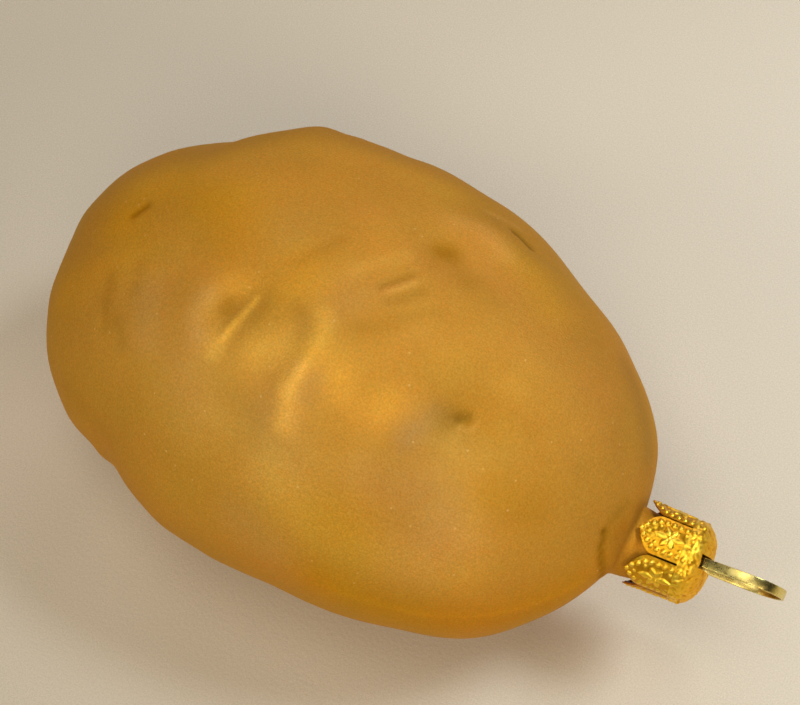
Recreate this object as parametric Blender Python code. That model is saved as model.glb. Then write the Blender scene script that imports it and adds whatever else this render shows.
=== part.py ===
"""A hanging ornament of blown glass in the shape of a potato, lying on a table.

Three pieces: a hollow glass potato with a short open neck, a stamped crown cap over the neck, and a
flat spring hanger whose legs pass through the cap and press apart inside the neck. The neck points
along +X and the ornament rests on a small flat spot at the origin.
"""

import bmesh
import bpy
import numpy as np

MM = 0.001

# The potato, before its lumps: half its length, breadth and thickness, and how it lies
HALF_LENGTH = 47.4 * MM
HALF_BREADTH = 33.9 * MM
HALF_THICKNESS = 28.3 * MM
FLAT_SPOT_DEPTH = 0.5 * MM
YAW = -7.9
DIP = 2.5
BODY_CENTRE = np.array([0.0, 0.0, HALF_THICKNESS - FLAT_SPOT_DEPTH])
GLASS_WALL = 0.9 * MM

# The neck, a short tube along +X that widens a little at its foot
NECK_Y = -6.2 * MM
NECK_Z = 25.0 * MM
NECK_FOOT_X = 46.0 * MM
NECK_RADIUS = 4.85 * MM
NECK_RIM_X = 55.6 * MM
NECK_FILLET = 0.7 * MM
NECK_ROOT_RADIUS = 5.25 * MM
NECK_ROOT_LENGTH = 1.0 * MM
NECK_FLARE = ((2.0 * MM, 5.02 * MM), (3.3 * MM, NECK_RADIUS))
RIM_ROUND = 0.2 * MM

# The crown cap, stamped from sheet: a round top, a short band and six pointed leaves. It sits a
# little loose on the neck, off its axis.
CAP_SHEET = 0.35 * MM
CAP_TOP_X = 58.7 * MM
CAP_Y = NECK_Y + 0.2 * MM
CAP_Z = NECK_Z + 0.18 * MM
CAP_RADIUS = 6.0 * MM
DOME_RISE = 1.15 * MM
SHOULDER_DEPTH = 1.75 * MM
SHOULDER_BREADTH = 3.2 * MM
CAP_LENGTH = 10.8 * MM
LEAF_COUNT = 6
LEAF_FREE_LENGTH = 6.8 * MM
LEAF_POINT_LENGTH = 2.9 * MM
LEAF_GAP = 0.3 * MM
LEAF_FLARE = 0.15 * MM
LEAF_TURN = 7.5
EMBOSS = 0.2 * MM
BORDER_INSET = 0.6 * MM
BORDER_BREADTH = 0.35 * MM
FLOWER_RUN = CAP_LENGTH - 4.4 * MM
FLOWER_RADIUS = 1.1 * MM
FLOWER_BREADTH = 0.55 * MM

# The hanger, a flat strip bent into a ring with two spring legs, which pass through one long slot
STRIP_WIDTH = 1.4 * MM
STRIP_THICKNESS = 0.4 * MM
RING_LEAN = 25.2
HANGER_OFFSET = 0.3 * MM
SLOT_WIDTH = 2.0 * MM
SLOT_LENGTH = 10.0 * MM
SLOT_DEPTH = 2.8 * MM

# Half of the strip's centre line, from a leg's foot to the far end of the loop: distance beyond the
# middle of the cap's top, and distance out from the middle of the loop
HALF_LOOP = np.array(
    [
        (-9.5, 2.1),
        (-8.5, 3.05),
        (-3.9, 3.05),
        (-2.5, 3.3),
        (-1.1, 4.3),
        (0.9, 4.9),
        (3.3, 5.45),
        (5.5, 5.65),
        (7.6, 5.25),
        (9.4, 4.05),
        (10.7, 2.2),
        (11.15, 0.0),
    ]
) * MM

# Mesh density
AROUND = 52
BODY_RINGS = 38
FILLET_STEPS = 4
LEAF_COLUMNS = 12
LEAF_ROWS = 16
LOOP_STEPS = 3

# Lumps and hollows of the skin: degrees along from the neck, degrees around from the top towards
# the front, height, reach along and reach around
LUMPS = {
    "front shoulder": (33, 113, 1.1 * MM, 6 * MM, 9 * MM),
    "front waist": (78, 107, -1.0 * MM, 9 * MM, 12 * MM),
    "front pinch": (127, 99, -0.7 * MM, 3.0 * MM, 10 * MM),
    "front heel": (148, 93, 1.3 * MM, 6 * MM, 9 * MM),
    "front fold": (137, 99, 0.9 * MM, 3.2 * MM, 6 * MM),
    "blunt end": (168, 20, -0.5 * MM, 8 * MM, 8 * MM),
    "back saddle": (147, -57, -1.0 * MM, 4.5 * MM, 10 * MM),
    "back knob": (125, -64, 1.5 * MM, 3.5 * MM, 6 * MM),
    "back notch": (120, -65, -0.6 * MM, 2.0 * MM, 4 * MM),
    "back swell": (92, -66, 0.4 * MM, 13 * MM, 10 * MM),
    "back dip": (51, -70, -1.1 * MM, 6 * MM, 12 * MM),
    "end notch": (170, 45, -0.5 * MM, 3.5 * MM, 6 * MM),
    "neck shoulder": (18, -80, 0.4 * MM, 3.5 * MM, 5 * MM),
    "top eye": (47, 22, -1.1 * MM, 2.6 * MM, 2.6 * MM),
    "top hollow": (75, -21, -0.9 * MM, 4.0 * MM, 3.2 * MM),
    "brow": (66, -42, 0.7 * MM, 3.5 * MM, 2.4 * MM),
    "pit": (113, 22, -0.9 * MM, 2.6 * MM, 2.2 * MM),
    "ridge": (86, 35, 0.8 * MM, 2.4 * MM, 7.0 * MM),
    "under eye": (110, 165, -0.9 * MM, 2.8 * MM, 2.8 * MM),
    "back eye": (70, -115, -1.0 * MM, 3.0 * MM, 2.4 * MM),
    "end eye": (150, -140, -1.0 * MM, 2.6 * MM, 2.6 * MM),
    "front low side": (47, 103, -0.25 * MM, 8 * MM, 8 * MM),
    "front flat": (75, 92, -0.25 * MM, 3.5 * MM, 8 * MM),
    "front belly": (106, 95, 0.27 * MM, 3.5 * MM, 8 * MM),
    "heel notch": (134, 93, -0.34 * MM, 3.5 * MM, 6 * MM),
    "end corner": (163.6, 15, 0.36 * MM, 5 * MM, 3.5 * MM),
    "back end flat": (150.5, -35, -0.34 * MM, 5 * MM, 5 * MM),
    "back shoulder": (54.6, -56, 0.30 * MM, 8 * MM, 8 * MM),
}


def clear_scene():
    for old in list(bpy.data.objects):
        bpy.data.objects.remove(old)


def lying_axes():
    """The potato's long, broad and thin directions as it lies."""
    yaw, dip = np.radians([YAW, DIP])
    long_way = np.array([np.cos(dip) * np.cos(yaw), np.cos(dip) * np.sin(yaw), -np.sin(dip)])
    broad_way = np.array([-np.sin(yaw), np.cos(yaw), 0.0])
    return np.stack([long_way, broad_way, np.cross(long_way, broad_way)])


LYING = lying_axes()
HALF_SIZES = np.array([HALF_LENGTH, HALF_BREADTH, HALF_THICKNESS])


def unit(vectors):
    return vectors / np.linalg.norm(vectors, axis=-1, keepdims=True)


# The polar directions that the lumps are given in: the pole is the neck's foot
NECK_FOOT = np.array([NECK_FOOT_X, NECK_Y, NECK_Z])
FOOT_DISTANCE = np.linalg.norm(NECK_FOOT - BODY_CENTRE)
POLE = unit(NECK_FOOT - BODY_CENTRE)
TOPWARD = unit(np.array([0.0, 0.0, 1.0]) - POLE[2] * POLE)
FRONTWARD = np.cross(POLE, TOPWARD)


def directions(along, around):
    """Unit vectors from the potato's middle, from degrees along and around."""
    along, around = np.radians(along), np.radians(around)
    side = np.multiply.outer(np.cos(around), TOPWARD) + np.multiply.outer(np.sin(around), FRONTWARD)
    return np.multiply.outer(np.cos(along), POLE) + np.sin(along)[..., None] * side


def plain_surface(ways):
    """Points and outward normals of the plain ellipsoid along these unit vectors."""
    own = ways @ LYING.T
    points = own / np.linalg.norm(own / HALF_SIZES, axis=-1, keepdims=True)
    normals = unit(points / HALF_SIZES**2)
    return points @ LYING + BODY_CENTRE, normals @ LYING


def lump_height(points):
    """The height of all lumps together at points of the plain ellipsoid."""
    total = np.zeros(points.shape[:-1])
    for along, around, height, reach_along, reach_around in LUMPS.values():
        here, out = plain_surface(directions(np.array(along), np.array(around)))
        lengthwise = unit(np.cross(np.cross(out, -POLE), out))
        sidewise = np.cross(out, lengthwise)
        away = points - here
        depth_reach = max(reach_along, reach_around)
        spread = (
            (away @ lengthwise / reach_along) ** 2
            + (away @ sidewise / reach_around) ** 2
            + (away @ out / depth_reach) ** 2
        )
        total += height * np.exp(-0.5 * spread)
    return total


def skin(along, around, inset=0.0):
    """Points of the potato's skin, or of a surface this far under it, kept clear of the table."""
    points, normals = plain_surface(directions(along, around))
    points = points + (lump_height(points) - inset)[..., None] * normals
    points[..., 2] = np.maximum(points[..., 2], inset)
    return points


def neck_ring(x, radius, around):
    """A round ring about the neck's axis."""
    angle = np.radians(around)
    level = np.full(angle.shape, x)
    return np.stack([level, NECK_Y - radius * np.sin(angle), NECK_Z + radius * np.cos(angle)], -1)


def lathe(name, first_pole, rings, last_pole):
    """One closed mesh from rings of equal count between two end points."""
    mesh = bmesh.new()
    rows = [[mesh.verts.new(point) for point in ring] for ring in rings]
    start, end = mesh.verts.new(first_pole), mesh.verts.new(last_pole)
    count = len(rows[0])
    for i in range(count):
        j = (i + 1) % count
        mesh.faces.new((start, rows[0][i], rows[0][j]))
        mesh.faces.new((end, rows[-1][j], rows[-1][i]))
        for low, high in zip(rows, rows[1:]):
            mesh.faces.new((low[i], high[i], high[j], low[j]))
    bmesh.ops.recalc_face_normals(mesh, faces=mesh.faces)
    return object_from(name, mesh)


def object_from(name, mesh):
    data = bpy.data.meshes.new(name)
    mesh.to_mesh(data)
    mesh.free()
    made = bpy.data.objects.new(name, data)
    bpy.context.scene.collection.objects.link(made)
    return made


def finish_with(made, colour, roughness, metallic):
    material = bpy.data.materials.new(made.name)
    material.use_nodes = True
    shader = material.node_tree.nodes["Principled BSDF"]
    shader.inputs["Base Color"].default_value = (*colour, 1.0)
    shader.inputs["Roughness"].default_value = roughness
    shader.inputs["Metallic"].default_value = metallic
    made.data.materials.append(material)


def fillet_rings(around):
    """Rings of the small fillet that turns the potato's skin into the neck."""
    start = skin(np.degrees((NECK_ROOT_RADIUS + NECK_FILLET) / FOOT_DISTANCE) + 0 * around, around)
    corner = skin(np.degrees(NECK_ROOT_RADIUS / FOOT_DISTANCE) + 0 * around, around)
    end = neck_ring(NECK_FOOT_X + NECK_ROOT_LENGTH, NECK_ROOT_RADIUS, around)
    shares = np.linspace(0, 1, FILLET_STEPS + 1)
    return [(1 - t) ** 2 * start + 2 * t * (1 - t) * corner + t**2 * end for t in shares]


def make_glass():
    """The blown potato: skin, neck, cut rim, bore and cavity as one closed wall."""
    around = np.arange(AROUND) * 360.0 / AROUND
    fillet_start = np.degrees((NECK_ROOT_RADIUS + NECK_FILLET) / FOOT_DISTANCE)
    skin_angles = np.linspace(180, fillet_start, BODY_RINGS + 1)[1:-1]
    rings = [skin(a + 0 * around, around) for a in skin_angles]
    rings += fillet_rings(around)
    rings += [neck_ring(NECK_FOOT_X + away, radius, around) for away, radius in NECK_FLARE]
    bore = NECK_RADIUS - GLASS_WALL
    rings += [
        neck_ring(NECK_RIM_X - RIM_ROUND, NECK_RADIUS, around),
        neck_ring(NECK_RIM_X, NECK_RADIUS - RIM_ROUND, around),
        neck_ring(NECK_RIM_X, bore + RIM_ROUND, around),
        neck_ring(NECK_RIM_X - RIM_ROUND, bore, around),
        neck_ring(NECK_FOOT_X + GLASS_WALL, bore, around),
    ]
    cavity_angles = np.linspace(fillet_start + 1.0, 180, BODY_RINGS)[:-1]
    rings += [skin(a + 0 * around, around, GLASS_WALL) for a in cavity_angles]
    outer_end = skin(np.array(180.0), np.array(0.0))
    inner_end = skin(np.array(180.0), np.array(0.0), GLASS_WALL)
    glass = lathe("glass_potato", outer_end, rings, inner_end)
    glass.data.shade_smooth()
    glass.data.set_sharp_from_angle(angle=np.radians(50))
    finish_with(glass, (0.50, 0.26, 0.05), 0.42, 0.55)


def leaf_half_angle(run):
    """Half the angle that a leaf fills at this distance down the cap, in radians."""
    full = np.pi / LEAF_COUNT - 0.5 * LEAF_GAP / CAP_RADIUS
    point_start = CAP_LENGTH - LEAF_POINT_LENGTH
    if run <= point_start:
        return full
    share = (run - point_start) / LEAF_POINT_LENGTH
    return full * (1 - share**2)


def leaf_relief(across, run):
    """Height of the stamped pattern: a raised border and a six-petalled flower."""
    half_width = leaf_half_angle(run) * CAP_RADIUS
    edge = half_width - abs(across)
    border = np.exp(-(((edge - BORDER_INSET) / BORDER_BREADTH) ** 2))
    away = np.hypot(across, run - FLOWER_RUN)
    turn = np.arctan2(across, run - FLOWER_RUN)
    petals = np.exp(-(((away - FLOWER_RADIUS) / FLOWER_BREADTH) ** 2)) * (0.5 + 0.5 * np.cos(6 * turn))
    return EMBOSS * max(border, petals)


def cap_point(run, radius, angle):
    """A point of the cap's outer sheet: run is the distance below the middle of its top."""
    return (CAP_TOP_X - run, CAP_Y - radius * np.sin(angle), CAP_Z + radius * np.cos(angle))


def dome_rows():
    """Distance below the middle and radius of the domed top and its rounded shoulder."""
    flat = CAP_RADIUS - SHOULDER_BREADTH
    turns = np.radians([0, 22, 45, 67, 90])
    radii = [0.5 * flat, *(flat + SHOULDER_BREADTH * np.sin(turns))]
    drops = [0.0, *(SHOULDER_DEPTH * (1 - np.cos(turns)))]
    return [(drop + DOME_RISE * (r / CAP_RADIUS) ** 2, r) for drop, r in zip(drops, radii)]


def leaf_radius(run):
    """The leaves stand out a little more towards their tips."""
    free = (run - (CAP_LENGTH - LEAF_FREE_LENGTH)) / LEAF_FREE_LENGTH
    return CAP_RADIUS + LEAF_FLARE * free**2


def cap_columns():
    """Angles of the cap's columns: each leaf's own columns, then the narrow gap to the next."""
    half = leaf_half_angle(0.0)
    turn = np.radians(LEAF_TURN)
    pitch = 2 * np.pi / LEAF_COUNT
    return [
        turn + leaf * pitch + half * share
        for leaf in range(LEAF_COUNT)
        for share in np.linspace(-1, 1, LEAF_COLUMNS + 1)
    ]


def make_cap():
    """The crown: top, rounded shoulder, band and leaves as one sheet, thickened inwards."""
    mesh = bmesh.new()
    columns = cap_columns()
    count = len(columns)
    band_end = CAP_LENGTH - LEAF_FREE_LENGTH
    band_middle = 0.5 * (DOME_RISE + SHOULDER_DEPTH + band_end)
    levels = [*dome_rows(), (band_middle, CAP_RADIUS), (band_end, CAP_RADIUS)]
    centre = mesh.verts.new((CAP_TOP_X, CAP_Y, CAP_Z))
    rows = [[mesh.verts.new(cap_point(run, r, angle)) for angle in columns] for run, r in levels]
    for i in range(count):
        j = (i + 1) % count
        mesh.faces.new((centre, rows[0][i], rows[0][j]))
        for high, low in zip(rows, rows[1:]):
            mesh.faces.new((high[i], low[i], low[j], high[j]))
    for leaf in range(LEAF_COUNT):
        start = leaf * (LEAF_COLUMNS + 1)
        add_leaf(mesh, rows[-1][start : start + LEAF_COLUMNS + 1], leaf)
    bmesh.ops.recalc_face_normals(mesh, faces=mesh.faces)
    cap = object_from("crown_cap", mesh)
    thicken = cap.modifiers.new("sheet", "SOLIDIFY")
    thicken.thickness = CAP_SHEET
    thicken.offset = -1.0
    thicken.use_even_offset = False
    cut = cap.modifiers.new("slot", "BOOLEAN")
    cut.object = slot_cutter()
    cut.operation = "DIFFERENCE"
    finish_with(cap, (0.83, 0.55, 0.08), 0.28, 1.0)


def add_leaf(mesh, top_row, leaf):
    """One pointed leaf below the band, its rows narrowing to the tip."""
    middle = np.radians(LEAF_TURN) + leaf * 2 * np.pi / LEAF_COUNT
    band_end = CAP_LENGTH - LEAF_FREE_LENGTH
    shares = np.linspace(0, 1, LEAF_ROWS + 1)[1:]
    runs = band_end + LEAF_FREE_LENGTH * shares
    above = top_row
    for run in runs[:-1]:
        half = leaf_half_angle(run)
        row = []
        for share in np.linspace(-1, 1, LEAF_COLUMNS + 1):
            radius = leaf_radius(run) + leaf_relief(share * half * CAP_RADIUS, run)
            row.append(mesh.verts.new(cap_point(run, radius, middle + share * half)))
        for i in range(LEAF_COLUMNS):
            mesh.faces.new((above[i], row[i], row[i + 1], above[i + 1]))
        above = row
    tip = mesh.verts.new(cap_point(runs[-1], leaf_radius(runs[-1]), middle))
    for i in range(LEAF_COLUMNS):
        mesh.faces.new((above[i], tip, above[i + 1]))


def hanger_place(x, outward, widthways):
    """A point from the distances along the neck, across the ring and across the strip's width."""
    lean = np.radians(RING_LEAN)
    outward_way = np.array([0.0, -np.sin(lean), np.cos(lean)])
    width_way = np.array([0.0, -np.cos(lean), -np.sin(lean)])
    return np.array([x, CAP_Y, CAP_Z]) + outward * outward_way + (widthways - HANGER_OFFSET) * width_way


def slot_cutter():
    """The long hole in the cap's top that both legs of the hanger pass through."""
    mesh = bmesh.new()
    bmesh.ops.create_cube(mesh, size=1.0)
    for vertex in mesh.verts:
        along, outward, widthways = vertex.co
        reach = CAP_TOP_X + SLOT_DEPTH * (along - 0.29)
        vertex.co = hanger_place(reach, SLOT_LENGTH * outward, SLOT_WIDTH * widthways)
    cutter = object_from("slot_cutter", mesh)
    cutter.hide_render = True
    cutter.display_type = "WIRE"
    return cutter


def strip_path():
    """The strip's centre line in its own plane, (x, outward), from one leg's foot to the other's."""
    half = HALF_LOOP + [CAP_TOP_X, 0.0]
    marks = np.concatenate([half, half[-2::-1] * [1, -1]])
    slopes = np.gradient(marks, axis=0)
    path = [marks[0]]
    for i in range(len(marks) - 1):
        for t in np.linspace(0, 1, LOOP_STEPS + 1)[1:]:
            start = (1 + 2 * t) * (1 - t) ** 2 * marks[i] + t * (1 - t) ** 2 * slopes[i]
            end = t**2 * (3 - 2 * t) * marks[i + 1] - t**2 * (1 - t) * slopes[i + 1]
            path.append(start + end)
    return np.array(path)


def make_hanger():
    """The strip swept along its path, with square edges."""
    path = strip_path()
    tangents = unit(np.gradient(path, axis=0))
    normals = np.stack([-tangents[:, 1], tangents[:, 0]], -1)
    mesh = bmesh.new()
    rows = []
    for point, normal in zip(path, normals):
        row = []
        for thick, wide in ((-0.5, -0.5), (0.5, -0.5), (0.5, 0.5), (-0.5, 0.5)):
            x, outward = point + thick * STRIP_THICKNESS * normal
            row.append(mesh.verts.new(hanger_place(x, outward, wide * STRIP_WIDTH)))
        rows.append(row)
    mesh.faces.new(rows[0])
    mesh.faces.new(reversed(rows[-1]))
    for low, high in zip(rows, rows[1:]):
        for i in range(4):
            j = (i + 1) % 4
            mesh.faces.new((low[i], low[j], high[j], high[i]))
    bmesh.ops.recalc_face_normals(mesh, faces=mesh.faces)
    hanger = object_from("spring_hanger", mesh)
    finish_with(hanger, (0.72, 0.56, 0.20), 0.22, 1.0)


clear_scene()
make_glass()
make_cap()
make_hanger()
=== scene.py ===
"""A hanging ornament of blown glass in the shape of a potato, lying on a pale table top.

The pieces follow the order in which the real one is put together: the blown and lacquered potato
with its short neck, the stamped crown cap over the neck, and the strip hanger that springs into the
cap. Everything is in metres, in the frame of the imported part: +X along the neck, +Z up.
"""

import bmesh
import bpy
import numpy as np
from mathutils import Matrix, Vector, noise


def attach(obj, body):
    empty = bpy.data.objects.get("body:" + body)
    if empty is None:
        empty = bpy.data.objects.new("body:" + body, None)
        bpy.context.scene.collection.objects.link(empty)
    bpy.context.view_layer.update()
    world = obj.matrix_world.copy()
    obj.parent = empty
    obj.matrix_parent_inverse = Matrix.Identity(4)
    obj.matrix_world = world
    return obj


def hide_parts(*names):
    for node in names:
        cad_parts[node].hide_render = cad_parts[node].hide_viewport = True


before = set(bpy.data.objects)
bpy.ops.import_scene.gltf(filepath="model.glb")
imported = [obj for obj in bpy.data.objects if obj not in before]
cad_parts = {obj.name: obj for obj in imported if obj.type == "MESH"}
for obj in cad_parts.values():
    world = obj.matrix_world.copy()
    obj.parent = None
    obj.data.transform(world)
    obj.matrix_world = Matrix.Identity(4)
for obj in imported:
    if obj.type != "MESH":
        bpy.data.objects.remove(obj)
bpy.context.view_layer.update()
MM = 0.001


# ---- The blown potato ----
# One bubble of clear glass, blown into a mould and reworked while hot, which left soft lumps,
# pressed dents and thin drawn ridges. It is hollow, silvered inside, and open at its short neck.

HALF_SIZES = np.array([47.4, 33.9, 28.3]) * MM
FLAT_SPOT_DEPTH = 0.5 * MM
BODY_CENTRE = np.array([0.0, 0.0, HALF_SIZES[2] - FLAT_SPOT_DEPTH])
GLASS_WALL = 0.9 * MM
NECK_Y = -6.2 * MM
NECK_Z = 25.0 * MM
NECK_FOOT_X = 46.0 * MM
NECK_RADIUS = 4.85 * MM
NECK_RIM_X = 55.6 * MM
NECK_FILLET = 0.7 * MM
NECK_ROOT_X = 47.0 * MM
NECK_ROOT_RADIUS = 5.25 * MM
RIM_ROUND = 0.2 * MM

# How the long side lies: degrees turned about the upright, and dipped towards the neck
LYING_YAW, LYING_DIP = -7.9, 2.5


def unit(vectors):
    return vectors / np.linalg.norm(vectors, axis=-1, keepdims=True)


def lying_axes(yaw, dip):
    """The potato's long, broad and thin directions as it lies."""
    yaw, dip = np.radians([yaw, dip])
    long_way = np.array([np.cos(dip) * np.cos(yaw), np.cos(dip) * np.sin(yaw), -np.sin(dip)])
    broad_way = np.array([-np.sin(yaw), np.cos(yaw), 0.0])
    return np.stack([long_way, broad_way, np.cross(long_way, broad_way)])


LYING = lying_axes(LYING_YAW, LYING_DIP)
NECK_FOOT = np.array([NECK_FOOT_X, NECK_Y, NECK_Z])
FOOT_DISTANCE = np.linalg.norm(NECK_FOOT - BODY_CENTRE)
POLE = unit(NECK_FOOT - BODY_CENTRE)
TOPWARD = unit(np.array([0.0, 0.0, 1.0]) - POLE[2] * POLE)
FRONTWARD = np.cross(POLE, TOPWARD)

# Large lumps and hollows: degrees along from the neck, degrees around from the top towards the
# front, then height, reach along and reach around in millimetres
LUMPS = {
    "front shoulder": (33, 113, 1.1, 6, 9),
    "front waist": (78, 107, -1.0, 9, 12),
    "front pinch": (127, 99, -0.7, 3.0, 10),
    "front heel": (148, 93, 1.3, 6, 9),
    "front fold": (137, 99, 0.9, 3.2, 6),
    "blunt end": (168, 20, -0.5, 8, 8),
    "back saddle": (147, -57, -1.0, 4.5, 10),
    "back knob": (125, -64, 1.5, 3.5, 6),
    "back notch": (120, -65, -0.6, 2.0, 4),
    "back swell": (92, -66, 0.4, 13, 10),
    "back dip": (51, -70, -1.1, 6, 12),
    "end notch": (170, 45, -0.5, 3.5, 6),
    "neck shoulder": (18, -80, 0.4, 3.5, 5),
    "top eye": (47, 22, -1.1, 2.6, 2.6),
    "top hollow": (75, -21, -0.9, 4.0, 3.2),
    "brow": (66, -42, 0.7, 3.5, 2.4),
    "pit": (113, 22, -0.9, 2.6, 2.2),
    "ridge": (86, 35, 0.8, 2.4, 7.0),
    "under eye": (110, 165, -0.9, 2.8, 2.8),
    "back eye": (70, -115, -1.0, 3.0, 2.4),
    "end eye": (150, -140, -1.0, 2.6, 2.6),
    "front low side": (47, 103, -0.25, 8, 8),
    "front flat": (75, 92, -0.25, 3.5, 8),
    "front belly": (106, 95, 0.27, 3.5, 8),
    "heel notch": (134, 93, -0.34, 3.5, 6),
    "end corner": (163.6, 15, 0.36, 5, 3.5),
    "back end flat": (150.5, -35, -0.34, 5, 5),
    "back shoulder": (54.6, -56, 0.30, 8, 8),
}

# Shallow waves too fine for the part: the same five numbers
FINE_WAVES = {
    "neck side": (17, 116, 0.13, 3.0, 4.0),
    "low side": (47, 107, -0.12, 3.0, 4.0),
    "waist": (78, 107, -0.10, 2.0, 4.0),
    "belly": (93, 106, 0.13, 2.0, 4.0),
    "belly end": (109, 102, 0.16, 2.0, 4.0),
    "fold crest": (130, 103, 0.46, 1.3, 4.0),
    "under the fold": (135, 104, -0.17, 2.0, 4.0),
    "heel": (143, 97, -0.11, 5.0, 5.0),
    "blunt corner": (161, 79, 0.17, 2.0, 2.0),
    "blunt end": (174, 20, 0.22, 4.0, 2.0),
    "upper corner": (162, -46, -0.17, 2.0, 4.0),
    "saddle end": (155, -58, -0.33, 5.0, 5.0),
    "saddle": (146, -59, -0.27, 1.3, 4.0),
    "knob's dip": (124, -66, -0.49, 2.0, 4.0),
    "knob's crest": (119, -64, 0.28, 1.3, 4.0),
    "behind the knob": (106, -64, -0.22, 2.0, 4.0),
    "back": (85, -66, -0.26, 3.0, 4.0),
    "back by the neck": (33, -71, -0.29, 3.0, 4.0),
    "swell before the neck": (6.8, 34, 0.90, 1.9, 4.0),
}

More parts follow.
